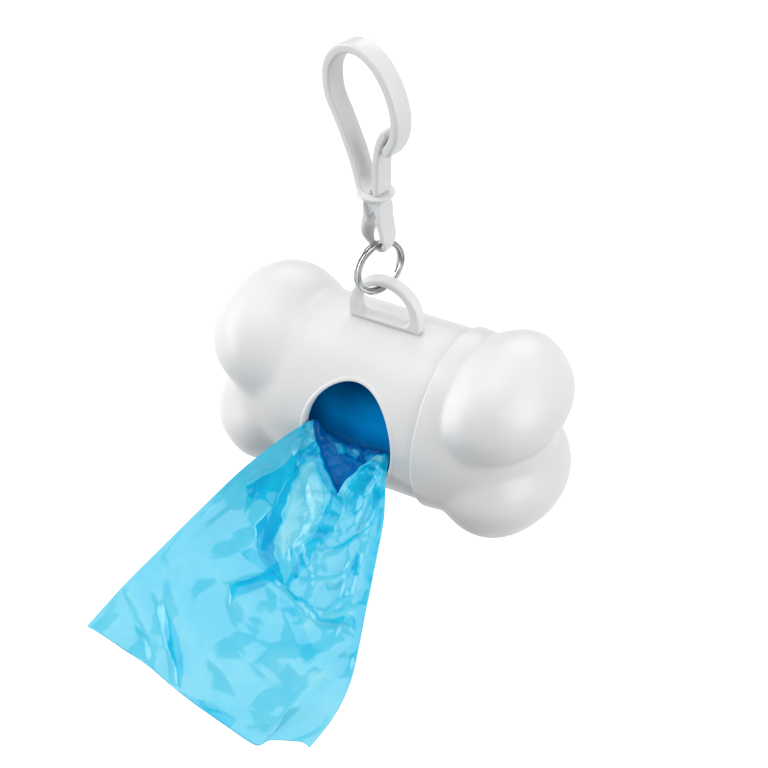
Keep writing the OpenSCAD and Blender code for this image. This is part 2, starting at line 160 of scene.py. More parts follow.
def end_field(p, x0, r, inset, blend):
    """Sum of rho^-blend of core and lobes; the lobes fade in with distance from the rim."""
    core = (np.abs(p[..., 0] - x0) / (CORE_REACH + BARREL_HALF - x0 - inset)) ** CORE_POWER
    core += (np.hypot(p[..., 1], p[..., 2]) / r) ** CORE_POWER
    total = core ** (-blend / CORE_POWER)
    fade = smooth((p[..., 0] - x0) / BLEND_RUN)
    c, s = np.cos(LOBE["lean"]), np.sin(LOBE["lean"])
    for side in (1, -1):
        x, z = p[..., 0] - LOBE["x"], side * p[..., 2] - LOBE["z"]
        q = np.stack([x * c - z * s, p[..., 1], x * s + z * c], -1) / (LOBE["half"] - inset)
        flat = (np.abs(q[..., [0, 2]]) ** LOBE["power"]).sum(-1) ** (1 / LOBE["power"])
        total += fade * np.hypot(flat, q[..., 1]) ** -blend
    return total


def lobed_end(turn, theta, x0, r, inset, blend):
    """Rays at angle turn from the bone's axis and theta around it, to where the field is 1."""
    a, b = np.meshgrid(turn, theta, indexing="ij")
    ray = np.stack([np.cos(a), -np.sin(a) * np.cos(b), np.sin(a) * np.sin(b)], -1)
    low, high = np.full(a.shape, 1.0), np.full(a.shape, 2 * CORE_REACH)
    for _ in range(HALVINGS):
        middle = (low + high) / 2
        inside = end_field(ray * middle[..., None] + [x0, 0, 0], x0, r, inset, blend) > 1
        low, high = np.where(inside, middle, low), np.where(inside, high, middle)
    return ray * low[..., None] + [x0, 0, 0]


def rings(profile, theta):
    """Rings of radius r at x for each (x, r) of a profile, at the angles theta."""
    x, r = np.array(profile, float).T[:, :, None]
    return np.stack(np.broadcast_arrays(x, -r * np.cos(theta), r * np.sin(theta)), -1)


# %% [markdown]
# The body is a moulded tube with one lobed end. Its front opening is an oval cut along the
# line of sight into a round wall. The mesh runs from the oval out to a frame on the
# barrel, so the rounded lip is a clean row of faces and no boolean is needed.

# %% The barrel's front, from the oval out to its frame
WALL = 2.2
BORE = R - WALL
OVAL = {"x": -0.2, "z": 1.0, "w": 10.8, "h": 12.5}
X_LEFT, X_SEAM = -15.3, 15.5
T_LOW, T_HIGH = np.radians(-66), np.radians(74)
FRONT, REST = 56, 84
x_run = np.linspace(X_LEFT, X_SEAM, FRONT + 1)
t_run = np.linspace(T_LOW, T_HIGH, FRONT + 1)
t_rest = np.linspace(T_HIGH, T_LOW + 2 * np.pi, REST + 1)
t_ring = np.concatenate([t_run, t_rest[1:]])
frame_x = np.concatenate([np.full(FRONT, X_SEAM), x_run[:0:-1], np.full(FRONT, X_LEFT), x_run])
frame_t = np.concatenate([t_run[:-1], np.full(FRONT, T_HIGH), t_run[:0:-1], np.full(FRONT + 1, T_LOW)])
phi = np.unwrap(np.arctan2((R * frame_t - OVAL["z"]) / OVAL["h"], (frame_x - OVAL["x"]) / OVAL["w"]))


def oval_on(r, grow):
    """The oval, grown by grow, pressed straight back onto a barrel of radius r."""
    x = OVAL["x"] + (OVAL["w"] + grow) * np.cos(phi)
    z = OVAL["z"] + (OVAL["h"] + grow) * np.sin(phi)
    return np.stack([x, -np.sqrt(r * r - z * z), z], -1)


def front_patch(r, grow, rows=16):
    """Rows from the oval to the frame, mixed in x and in the angle around the barrel, and
    closest together at the oval."""
    edge = oval_on(r, grow)
    t_edge = np.arcsin(edge[:, 2] / r)
    w = (np.linspace(0, 1, rows) ** 1.4)[:, None]
    x = edge[:, 0] * (1 - w) + frame_x * w
    t = t_edge * (1 - w) + frame_t * w
    return np.stack([x, -r * np.cos(t), r * np.sin(t)], -1)


def barrel_rest(r):
    """The barrel from the frame's top edge round the back to its lower edge."""
    x, t = np.meshgrid(x_run, t_rest, indexing="ij")
    return np.stack([x, -r * np.cos(t), r * np.sin(t)], -1)


def bend(a, b, c, steps):
    """Points on the curve (1-t)^2 a + 2t(1-t) b + t^2 c, which rounds the corner b."""
    t = np.linspace(0, 1, steps)[:, None, None]
    return (1 - t) ** 2 * a + 2 * t * (1 - t) * b + t ** 2 * c


# %% [markdown]
# A moulded opening never has a bare cut edge. This one is rounded, with a fine bead round
# it that catches the light. Its profile is three short curves from one grown oval to the
# next. A Bevel modifier can't make a bead, and it would stop at the oval's tight ends.

# %% The opening's lip
LIP, BEAD_FOOT, BEAD_SIDE, BEAD_OUT, BEAD_IN = 1.15, 0.95, 0.85, 0.75, 0.6
BEAD, INNER_LIP = 0.2, 0.4


def set_back(distance):
    """A step straight back into the barrel, away from the opening."""
    return np.array([0, distance, 0])


side, top = oval_on(R + BEAD / 2, BEAD_SIDE), oval_on(R + BEAD, BEAD_IN)
outer_lip = np.concatenate([
    bend(oval_on(R, LIP), oval_on(R, BEAD_FOOT), side, 5),
    bend(side, oval_on(R + BEAD, BEAD_OUT), top, 5)[1:],
    bend(top, oval_on(R + BEAD, 0), oval_on(R, 0) + set_back(BEAD_IN), 8)[1:]])
inner_lip = bend(oval_on(BORE, 0) - set_back(INNER_LIP), oval_on(BORE, 0), oval_on(BORE, INNER_LIP), 4)
print("opening", 2 * OVAL["w"], "by", 2 * OVAL["h"], "mm, its bead", BEAD, "mm high")

# %% [markdown]
# On the right the tube ends in a thinner neck that the cap slides over, with a small key
# that lines the lobes up. Both are hidden while the cap is on. They are there because the
# cap comes off, and a joint that moves shows what is behind it.

# %% The body's skin, bore, neck and key
NECK, NECK_END, KEY_H, KEY_HALF_W = 19.1, 21.2, 0.7, 1.5
SKIN_BLEND, BORE_BLEND = 26, 16
turn_fine = np.radians(np.linspace(90, 0, 110))
turn_plain = np.radians(np.linspace(90, 0, 50))


def mirrored(grid):
    """The same grid on the bone's left side."""
    return grid * [-1, 1, 1]


def box(x, y, z):
    """A closed box between two values of x, two of y and two of z: its sides, then its ends."""
    around = [(y[0], z[0]), (y[0], z[1]), (y[1], z[1]), (y[1], z[0]), (y[0], z[0])]
    sides = np.array([[[end, *corner] for end in x] for corner in around])
    return [sides] + [np.stack([sides[:2, i], sides[3:1:-1, i]]) for i in (0, 1)]


neck_rows = [(X_SEAM, R), (BARREL_HALF - 0.12, R - 0.05), (BARREL_HALF, R - 0.25), (BARREL_HALF, NECK),
             (NECK_END - 0.3, NECK), (NECK_END - 0.1, NECK - 0.08), (NECK_END, NECK - 0.3),
             (NECK_END, BORE), (X_SEAM, BORE)]
key = box((BARREL_HALF, NECK_END - 0.2), (-KEY_HALF_W, KEY_HALF_W), (NECK - 0.1, NECK + KEY_H))
body_grids = [
    front_patch(R, LIP), barrel_rest(R), mirrored(lobed_end(turn_fine, t_ring, -X_LEFT, R, 0, SKIN_BLEND)),
    outer_lip, np.stack([outer_lip[-1], inner_lip[0]]), inner_lip,
    front_patch(BORE, INNER_LIP), barrel_rest(BORE),
    mirrored(lobed_end(turn_plain, t_ring, -X_LEFT, BORE, WALL, BORE_BLEND)),
    rings(neck_rows, t_ring), *key]
bone_body = surface("bone_body", [grid + BARREL for grid in body_grids])

# %% [markdown]
# The cap is the bone's other end. Mirroring the left end would be quicker, but the cap has
# a slightly wider rim and a tighter valley, so it is solved from the same field with its
# own values. Its rim is rounded, and one lobe carries the small pip that the mould's gate
# leaves.

# %% The lobed cap
CAP_R, CAP_WALL, RIM_X, RIM_ROUND = 20.9, 1.7, 15.9, 0.45
CAP_BLEND, CAP_BORE_BLEND = 44, 24
PIP, PIP_RISE, PIP_R = np.array([33.37, -14.64, 16.65]), 0.159, 0.75
turn_rim = np.radians(np.concatenate([[90, 89.93, 89.8, 89.6, 89.3, 89.0], np.linspace(88.6, 0, 116)]))
t_cap = np.linspace(0, 2 * np.pi, 177)


def rounded_rim(skin):
    """Points within RIM_ROUND of the rim move towards the axis, along a quarter of a circle."""
    edge_x = np.clip(skin[..., 0] - RIM_X, 0, RIM_ROUND)
    drop = RIM_ROUND - np.sqrt(RIM_ROUND ** 2 - (RIM_ROUND - edge_x) ** 2)
    radius = np.hypot(skin[..., 1], skin[..., 2])
    scale = np.where(radius > 1, 1 - drop / np.maximum(radius, 1), 1)
    return np.concatenate([skin[..., :1], skin[..., 1:] * scale[..., None]], -1)


def with_pip(skin):
    """A bell of height PIP_RISE and radius PIP_R at PIP, raised away from the lobe's middle."""
    near = np.linalg.norm(skin - PIP, axis=-1)
    outwards = PIP - [LOBE["x"], 0, LOBE["z"]]
    outwards /= np.linalg.norm(outwards)
    return skin + (PIP_RISE * np.exp(-(near / PIP_R) ** 2))[..., None] * outwards


cap_skin = with_pip(rounded_rim(lobed_end(turn_rim, t_cap, RIM_X, CAP_R, 0, CAP_BLEND)))
cap_bore = lobed_end(turn_plain, t_cap, RIM_X, CAP_R - CAP_WALL, CAP_WALL, CAP_BORE_BLEND)
cap_edge = np.stack([cap_skin[0], cap_bore[0]])
bone_cap = surface("bone_cap", [grid + BARREL for grid in (cap_skin, cap_bore, cap_edge)])

# %% [markdown]
# Loop, hook, gate, eye and split ring are all bars with rounded edges. A Bevel modifier on
# extruded outlines would round them too, but it spoils thin corners, so one function carries
# a rounded rectangle along a path. Where the bar goes round a hole, the path lies halfway
# between the hole's outline and the outer outline.

# %% A rounded bar along a path
def bar(centre, across, depth, half_across, half_depth, corner, steps=5):
    """Sections with sides 2*half_across by 2*half_depth and rounded corners, one per path point."""
    k = np.arange(4 * (steps + 1))
    side = k // (steps + 1)
    angle = np.radians(90) * (side + (k % (steps + 1)) / steps)
    sx, sy = np.array([1, -1, -1, 1])[side], np.array([1, 1, -1, -1])[side]
    w, d = np.broadcast_arrays(np.asarray(half_across, float), np.asarray(half_depth, float))
    w, d = (np.broadcast_to(v, len(centre))[:, None] for v in (w, d))
    c = np.minimum(np.minimum(w, d), np.broadcast_to(corner, len(centre))[:, None])
    ox, oy = sx * (w - c) + c * np.cos(angle), sy * (d - c) + c * np.sin(angle)
    across = np.broadcast_to(across, centre.shape)[:, None]
    depth = np.broadcast_to(depth, centre.shape)[:, None]
    grid = centre[:, None] + across * ox[..., None] + depth * oy[..., None]
    return np.concatenate([grid, grid[:, :1]], axis=1)


def around_hole(inner, outer, middle, count=220):
    """Pairs of points on two closed outlines, seen from middle at the same angles."""
    def polar(points):
        d = points - middle
        angle = np.unwrap(np.arctan2(d[:, 1], d[:, 0]))
        order = np.argsort(angle)
        return angle[order], np.hypot(d[:, 0], d[:, 1])[order]
    (ai, ri), (ao, ro) = polar(inner), polar(outer)
    angle = np.unique(np.concatenate([np.mod(ao, 2 * np.pi), np.linspace(0, 2 * np.pi, count)]))
    angle = angle[np.concatenate([[True], np.diff(angle) > 1e-4])]
    angle[-1] = angle[0] + 2 * np.pi
    ray = np.stack([np.cos(angle), np.sin(angle)], -1)
    return tuple(middle + ray * np.interp(angle, a, r, period=2 * np.pi)[:, None]
                 for a, r in ((ai, ri), (ao, ro)))


def arc(x, z, r, a, b, steps=24):
    """Points on a circle of radius r about (x, z), from a to b degrees."""
    t = np.radians(np.linspace(a, b, steps))
    return np.stack([x + r * np.cos(t), z + r * np.sin(t)], -1)


def line(*points, steps=12):
    """Straight stretches through the points, with steps points on each."""
    p = np.array(points, float)
    t = np.linspace(0, 1, steps)[:, None]
    return np.concatenate([a * (1 - t) + b * t for a, b in zip(p[:-1], p[1:])])


# %% [markdown]
# The carry loop is a flat D that stands on the barrel. Its lower edge is rounded too, so a
# narrow dark groove runs along its foot where it meets the barrel. A tongue under the foot
# goes into the barrel's wall and holds the two together.

# %% The carry loop
LOOP_R, HOLE_R, LOOP_X, HALF_DEPTH, LOOP_CORNER = 8.9, 6.3, -0.9, 1.5, 0.62
FOOT_TOP, HOLE_CORNER, FOOT_UNDER, FOOT_CORNER = R + 1.3, 2.2, R + 0.45, 0.65
TONGUE_HALF_W, TONGUE_HALF_D, TONGUE_Z = 8.2, 0.9, (R - 0.3, R + 1)


def d_outline(r, crown, foot, corner, corner_steps, foot_steps):
    """Half a circle of radius r up to the crown, straight posts, and a foot with round corners."""
    bend_z, post_z, straight = crown - r, foot + corner, r - corner
    return np.concatenate([
        arc(0, bend_z, r, 0, 180, 60), line((-r, bend_z), (-r, post_z)),
        arc(-straight, post_z, corner, 180, 270, corner_steps),
        line((-straight, foot), (straight, foot), steps=foot_steps),
        arc(straight, post_z, corner, 270, 360, corner_steps), line((r, post_z), (r, bend_z))])


def upright(flat):
    """Points (x, z) of the loop's plane as points in space."""
    return np.stack([flat[:, 0] + LOOP_X, np.zeros(len(flat)), flat[:, 1]], -1)


hole = d_outline(HOLE_R, R + LOOP_RISE - ARCH_T, FOOT_TOP, HOLE_CORNER, 24, 12)
outline = d_outline(LOOP_R, R + LOOP_RISE, FOOT_UNDER, FOOT_CORNER, 8, 30)
hole_middle = np.array([0, R + 5.5])
inside, outside = around_hole(hole, outline, hole_middle)
gap = np.linalg.norm(outside - inside, axis=1)
loop_grid = bar(upright((inside + outside) / 2), (upright(outside) - upright(inside)) / gap[:, None],
                np.array([0, 1.0, 0]), gap / 2, HALF_DEPTH, LOOP_CORNER)
tongue = box((LOOP_X - TONGUE_HALF_W, LOOP_X + TONGUE_HALF_W), (-TONGUE_HALF_D, TONGUE_HALF_D), TONGUE_Z)
d_loop = surface("d_loop", [grid + BARREL for grid in (loop_grid, *tongue)], sharp=60)

# %% [markdown]
# The hook is one moulding: a strip bent round into a loop, a round collar, and an eye with
# a slot for the split ring. A Bezier curve needs handles to be set at every point. The
# strip here follows a smooth curve through a dozen points (Catmull-Rom), which bends gently
# and passes exactly where it is told to.

# %% The hook's plane and its curves
U = np.array([np.cos(HOOK_TURN), np.sin(HOOK_TURN), 0])
V = np.array([-np.sin(HOOK_TURN), np.cos(HOOK_TURN), 0])
UP = np.array([0, 0, 1.0])


def on_hook(flat):
    """Points (u, z) of the hook's plane, with its collar's top face at z = 0, in space."""
    flat = np.asarray(flat, float)
    return np.array([*EYE, COLLAR_Z]) + flat[..., :1] * U + flat[..., 1:2] * UP


def through(points, steps):
    """Catmull-Rom curve through the points, with the first and last point doubled."""
    p = np.array(points, float)
    p = np.concatenate([p[:1], p, p[-1:]])
    t = np.linspace(0, 1, steps, endpoint=False)[:, None]
    runs = [0.5 * (2 * b + (c - a) * t + (2 * a - 5 * b + 4 * c - d) * t ** 2
                   + (3 * b - a - 3 * c + d) * t ** 3)
            for a, b, c, d in zip(p[:-3], p[1:-2], p[2:-1], p[3:])]
    return np.concatenate(runs + [p[-1:]])


HOOK_LINE = np.array([
    [-0.14, -0.02], [-0.25, 0.20], [-0.42, 0.42], [-0.56, 0.59], [-0.56, 0.78], [-0.40, 0.92],
    CROWN, [0.065, 0.91], [0.235, 0.78], [0.325, 0.62], [0.31, 0.475], [0.22, 0.36]])
GATE_LINE = np.array([[0.052, 1.01 / HOOK_H], [0.062, 0.14], [0.07, 0.25], [0.095, 0.34],
                      [0.14, 0.42], [0.183, 0.47]])

# %% Strips with round tips
TIP = np.radians([15, 30, 45, 58, 70, 80, 86, 90])


def strip(points, half_t, half_d, corner, round_start=False):
    """A bar of even thickness along a curve in the hook's plane. At a round tip the curve goes
    on straight by sin(TIP), while the half thickness falls as cos(TIP). A flat start is closed
    by a section of no size."""
    p = through(points * [HOOK_W, HOOK_H], 14)
    run = np.gradient(p, axis=0)
    run /= np.linalg.norm(run, axis=1)[:, None]
    first = TIP[::-1] if round_start else np.zeros(1)
    p = np.concatenate([p[0] - run[0] * half_t * np.sin(first)[:, None], p,
                        p[-1] + run[-1] * half_t * np.sin(TIP)[:, None]])
    half = np.concatenate([half_t * np.cos(first), np.full(len(run), half_t), half_t * np.cos(TIP)])
    run = np.concatenate([run[:1].repeat(len(first), 0), run, run[-1:].repeat(len(TIP), 0)])
    depth = np.full(len(p), half_d)
    if not round_start:
        half[0] = depth[0] = 0
    across = -run[:, 1:] * U + run[:, :1] * UP
    return bar(on_hook(p), across, V, half, depth, corner)


# %% [markdown]
# The collar is turned on a lathe, so to speak: its profile goes once round an upright axis.
# The eye is a drop with a narrow slot. Its bar is deep at the neck and thin at the bottom,
# where the split ring has to swing past it.

# %% The collar
COLLAR_X = -0.5
COLLAR = [(0, 0), (3.7, 0), (3.95, -0.07), (4.08, -0.22), (4.1, -0.42), (3.98, -0.66), (3.6, -1.1),
          (3.25, -1.45), (3.0, -1.62), (2.7, -COLLAR_T), (0, -COLLAR_T)]


def lathe(profile, middle, count=72):
    """A profile of (radius, height) turned about an upright axis through middle."""
    r, z = np.array(profile, float).T[:, :, None]
    t = np.linspace(0, 2 * np.pi, count + 1)
    return middle + np.stack(np.broadcast_arrays(r * np.cos(t), r * np.sin(t), z), -1)


# %% The eye
LOW, WIDE, SLOT_HALF, EYE_HALF = -COLLAR_T - EYE_H, -11.0, 2.35, 3.45
NECK_HALF_D, SIDE_HALF_D, BOTTOM_HALF_D, EYE_CORNER = 1.5, 2.2, 0.6, 0.5
SLOT_SIDE = [[-0.35, -5.1], [-1.2, -7.3], [-1.95, -9.1], [-SLOT_HALF, WIDE]]
EYE_SIDE = [[-2.4, -3.0], [-2.5, -5.0], [-2.9, -7.0], [-3.3, -9.0], [-EYE_HALF, WIDE]]
EYE_TOP = [(2.4, -3.0), (2.4, -1.2), (-2.4, -1.2), (-2.4, -3.0)]


def bowl(half, low):
    """Half an ellipse that hangs from the height WIDE down to low, from left to right."""
    t = np.radians(np.linspace(180, 360, 60))
    return np.stack([half * np.cos(t), WIDE + (low - WIDE) * -np.sin(t)], -1)


def right_of(side):
    """The points of a left side, mirrored to the right and taken upwards."""
    return np.array(side)[::-1] * [-1, 1]


slot = np.concatenate([through([[0.35, -5.1], [0, -4.8], *SLOT_SIDE], 10),
                       bowl(SLOT_HALF, LOW + EYE_BAR), through(right_of(SLOT_SIDE), 10)])
drop = np.concatenate([line(*EYE_TOP, steps=16), through(EYE_SIDE, 10),
                       bowl(EYE_HALF, LOW), through(right_of(EYE_SIDE), 10)])
inside, outside = around_hole(slot, drop, np.array([0, -9.4]), 260)
gap = np.linalg.norm(outside - inside, axis=1)
middle = (inside + outside) / 2
down = -middle[:, 1]
eye_depth = NECK_HALF_D + (SIDE_HALF_D - NECK_HALF_D) * smooth((down - 3.4) / 1.6)
eye_depth -= (SIDE_HALF_D - BOTTOM_HALF_D) * smooth((down - 9.5) / 5.1)
eye = bar(on_hook(middle), (on_hook(outside) - on_hook(inside)) / gap[:, None], V,
          gap / 2, eye_depth, np.minimum(0.46 * gap, EYE_CORNER), 6)
print("eye", 2 * EYE_HALF, "mm wide, slot", 2 * SLOT_HALF, "mm wide")

# %% [markdown]
# Between the strip's foot and the gate's root the moulding is filled up by a low web. It
# slopes from the strip down to the gate, and it is one more bar, laid along the collar.

# %% The web, the whole hook and its gate
WEB_FROM, WEB_TO, WEB_LOW, WEB_RISE, WEB_HALF_D, SUNK = -3.7, -0.06, 1.35, 2.4, 2.15, 0.1
STRIP_HALF_D, STRIP_CORNER, WEB_CORNER = 2.3, 0.55, 0.35
GATE_HALF, GATE_HALF_D, GATE_CORNER = 0.95, 2.2, 0.5
u_web = np.pad(np.linspace(WEB_FROM, WEB_TO, 24), 1, mode="edge")
rise_web = WEB_LOW + WEB_RISE * ((-0.5 - u_web) / 3.2).clip(0) ** 1.5
half_web, depth_web = rise_web / 2, np.full(len(u_web), WEB_HALF_D)
web_line = on_hook(np.stack([u_web, half_web - SUNK], -1))
half_web[[0, -1]] = depth_web[[0, -1]] = 0
web = bar(web_line, UP, V, half_web, depth_web, WEB_CORNER)
hook_strip = strip(HOOK_LINE, STRIP_HALF, STRIP_HALF_D, STRIP_CORNER)
gate_strip = strip(GATE_LINE, GATE_HALF, GATE_HALF_D, GATE_CORNER, round_start=True)
collar = lathe(COLLAR, on_hook([COLLAR_X, 0]))
snap_hook = surface("snap_hook", [hook_strip, web, collar, eye], sharp=60)
snap_gate = surface("snap_gate", [gate_strip], sharp=60)

# %% [markdown]
# The split ring is two turns of flat spring wire that cross once, so a cut end shows on
# each face. Two tori would look right from afar, but they have no ends. Its path is a
# circle whose height steps over from one turn to the other.

# %% The split ring
WIRE_R, WIRE_HALF_W, WIRE_HALF_T, WIRE_CORNER, TURN_STEP = 5.9, 0.6, 0.35, 0.24, 0.8
WIRE_FROM, WIRE_TO, STEP_FROM, STEP_OVER, WIRE_TURNED = 20, 700, 345, 30, 58
RING_MIDDLE = np.array([*EYE, RING_Z])
RING_AXIS = np.array([np.cos(RING_TURN), np.sin(RING_TURN), 0])
RING_SIDEWAYS = np.array([-np.sin(RING_TURN), np.cos(RING_TURN), 0])


def split_ring():
    """A bar along two turns of radius WIRE_R, half a step below the middle and then half a
    step above it. The wire steps over in the gap between its ends, which is turned to lie
    WIRE_TURNED degrees below the horizontal."""
    degrees = np.linspace(WIRE_FROM, WIRE_TO, 361)
    level = TURN_STEP * (smooth((degrees - STEP_FROM) / STEP_OVER) - 0.5)
    a = np.radians(degrees) - np.radians(WIRE_TURNED)
    out = np.cos(a)[:, None] * RING_SIDEWAYS + np.sin(a)[:, None] * UP
    centre = RING_MIDDLE + out * WIRE_R + level[:, None] * RING_AXIS
    wire = bar(centre, out, RING_AXIS, WIRE_HALF_W, WIRE_HALF_T, WIRE_CORNER)
    return [wire] + [np.stack([end, np.broadcast_to(end.mean(0), end.shape)]) for end in (wire[0], wire[-1])]


def along_wire(piece):
    """For each vertex: its distance from the ring's axis, its place along the axis, and a
    slow wave around the ring. The painted reflection bands follow the wire, so they read this."""
    spot = np.empty(len(piece.data.vertices) * 3, np.float32)
    piece.data.vertices.foreach_get("co", spot)
    spot = spot.reshape(-1, 3) / MM - RING_MIDDLE
    level, aside = spot @ RING_AXIS, spot @ RING_SIDEWAYS
    around = np.arctan2(spot[:, 2], aside)
    wave = 0.5 * np.sin(around) + 0.3 * np.cos(2 * around)
    return np.stack([np.hypot(aside, spot[:, 2]), level, wave], -1)


key_ring = surface("key_ring", split_ring(), sharp=50)
wire = key_ring.data.attributes.new("wire", "FLOAT_VECTOR", "POINT")
wire.data.foreach_set("vector", along_wire(key_ring).astype(np.float32).ravel())

# %% [markdown]
# The roll is wound film: never quite round, with long soft wrinkles where the layers have
# slipped. Real layers, one wound over the other, would cost thousands of faces that nobody
# sees. A few waves in the radius, different along the roll, are enough, because it is only
# seen through the opening and when the cap is off.

# %% The roll
ROLL = {"z": -3.1, "r": 14.28, "core": 6.6, "half": 28.0}


def wound_film():
    """The roll's radius and waves around and along it; the ends dip a little between turns of film."""
    t, x = np.meshgrid(np.linspace(0, 2 * np.pi, 241), np.linspace(-1, 1, 121), indexing="ij")
    r = ROLL["r"] + 0.05 * np.sin(3 * t + 2.3 * x) + 0.05 * np.sin(11 * t - 5 * x) * np.cos(2 * x)
    r += 0.09 * np.abs(np.sin(4 * t + 3 * np.sin(1.5 * x + t))) ** 6 * np.cos(3 * x + 1) - 0.04
    r -= 0.5 * smooth((np.abs(x) - 0.985) / 0.015)
    skin = np.stack([x * ROLL["half"], -r * np.cos(t), r * np.sin(t)], -1)
    ends, t_end, inwards = [], t[:, 0], np.linspace(0, 1, 24)[:, None]
    dip = 0.25 * np.sin(np.pi * inwards) * (1 + 0.5 * np.sin(5 * t_end + 9 * inwards))
    for column, side in ((0, -1), (-1, 1)):
        radius = r[:, column] * (1 - inwards) + ROLL["core"] * inwards
        ends.append(np.stack([side * (ROLL["half"] - dip), -radius * np.cos(t_end),
                              radius * np.sin(t_end)], -1))
    hole = np.stack([ends[0][-1], ends[1][-1]])
    return [grid + [0, 0, ROLL["z"]] + BARREL for grid in (skin, *ends, hole)]


film_roll = surface("film_roll", wound_film(), sharp=50)

# %% [markdown]
# The first bag is the soft piece. It leaves the roll gathered into narrow pleats, passes
# over the opening's lower edge and spreads to its full folded width at the hem. Four
# border curves give its outline, and the sheet between them is a Coons patch: the two ruled
# surfaces added up, less what they count twice. A flat grid bent by a lattice would do, but
# its edges would be hard to place. Folds and creases are added afterwards.

# %% The bag's borders, from the barrel's middle
ROOT_LEFT, ROOT_RIGHT, HEM_LEFT, HEM_RIGHT = np.array([
    [-9.4, -16.6, 1.2], [8.0, -15.4, -2.9], [-36.4, -71.1, -27.5], [22.9, -76.7, -29.7]])
edge_left = [ROOT_LEFT, [-10.2, -19.6, 2.5], [-15.0, -24.2, -1.2], [-21.6, -30.2, -8.0],
             [-26.5, -38.2, -14.1], [-29.7, -47.9, -18.1], [-33.5, -59.9, -22.9], HEM_LEFT]
edge_right = [ROOT_RIGHT, [10.1, -20.9, -5.2], [13.3, -27.8, -10.0], [16.3, -36.6, -13.5],
              [19.4, -46.3, -17.4], [22.5, -55.7, -21.2], [24.3, -62.8, -24.1], [24.4, -69.8, -26.9],
              HEM_RIGHT]
hem = [HEM_LEFT, [-20.4, -73.6, -28.5], [-8.5, -76.6, -29.7], [3.2, -78.9, -30.6], [10.8, -80.2, -31.1],
       [13.0, -79.9, -31.0], [14.5, -78.2, -30.3], [20.5, -76.3, -29.6], HEM_RIGHT]
root = [ROOT_LEFT, [-8.4, -15.4, -2.4], [-3.6, -15.0, -3.4], [1.5, -15.0, -3.5], [5.4, -15.0, -3.3],
        ROOT_RIGHT]
ACROSS, ALONG = 200, 230


def even(points, count):
    """A smooth curve through the points, with count points at even steps of its length."""
    p = through(points, 24)
    length = np.concatenate([[0], np.cumsum(np.linalg.norm(np.diff(p, axis=0), axis=1))])
    want = np.linspace(0, length[-1], count)
    return np.stack([np.interp(want, length, p[:, i]) for i in range(3)], -1)


def coons():
    """Ruled left-to-right plus ruled root-to-hem, less the bilinear patch of the corners."""
    a, b = even(edge_left, ALONG), even(edge_right, ALONG)
    c, d = even(root, ACROSS), even(hem, ACROSS)
    v, u = np.meshgrid(np.linspace(0, 1, ALONG), np.linspace(0, 1, ACROSS), indexing="ij")
    u, v = u[..., None], v[..., None]
    sides = (1 - u) * a[:, None] + u * b[:, None]
    ends = (1 - v) * c[None] + v * d[None]
    corners = (1 - v) * ((1 - u) * c[0] + u * c[-1]) + v * ((1 - u) * d[0] + u * d[-1])
    return sides + ends - corners, u[..., 0], v[..., 0]


# %% [markdown]
# Two pairs of numbers say where a point of the sheet is. u runs from the left edge to the
# right one and v from the roll to the hem, both from 0 to 1, and outlines are given in them.
# s and t are the same place in millimetres on the film laid flat, so folds and crumples
# keep their size wherever they lie. `FLAT_L` is the shortest way from roll to hem. The
# longest is 72 mm, so a fold that runs down the film comes out up to a tenth longer.

# %% The smooth sheet, and its film laid flat
THROAT_W, HEM_W, FLAT_L = 19, 62, 66


def flat_place(u, v):
    """Where a point of the sheet lies when the film is flat: narrow at the throat, in mm."""
    return (u - 0.5) * (THROAT_W + (HEM_W - THROAT_W) * np.clip(v, 0, 1) ** 0.8), FLAT_L * v


sheet_points, u, v = coons()
s, t = flat_place(u, v)
print("sheet", ALONG, "by", ACROSS, "points")
print("film laid flat", round(float(np.ptp(s))), "by", round(float(np.ptp(t))), "mm")

# %% [markdown]
# Thin film doesn't drape in round waves like cloth: it breaks into flat facets with sharp
# creases, and where it lies over itself the colour is deeper. A cloth simulation would give
# the round waves. So the sheet is built from three things instead: straight folds with a
# sharp crest and two flat sides, flaps with a clear outline where the film is doubled, and
# fine crumples made of triangle waves that are strong at the opening and nearly gone at
# the hem.

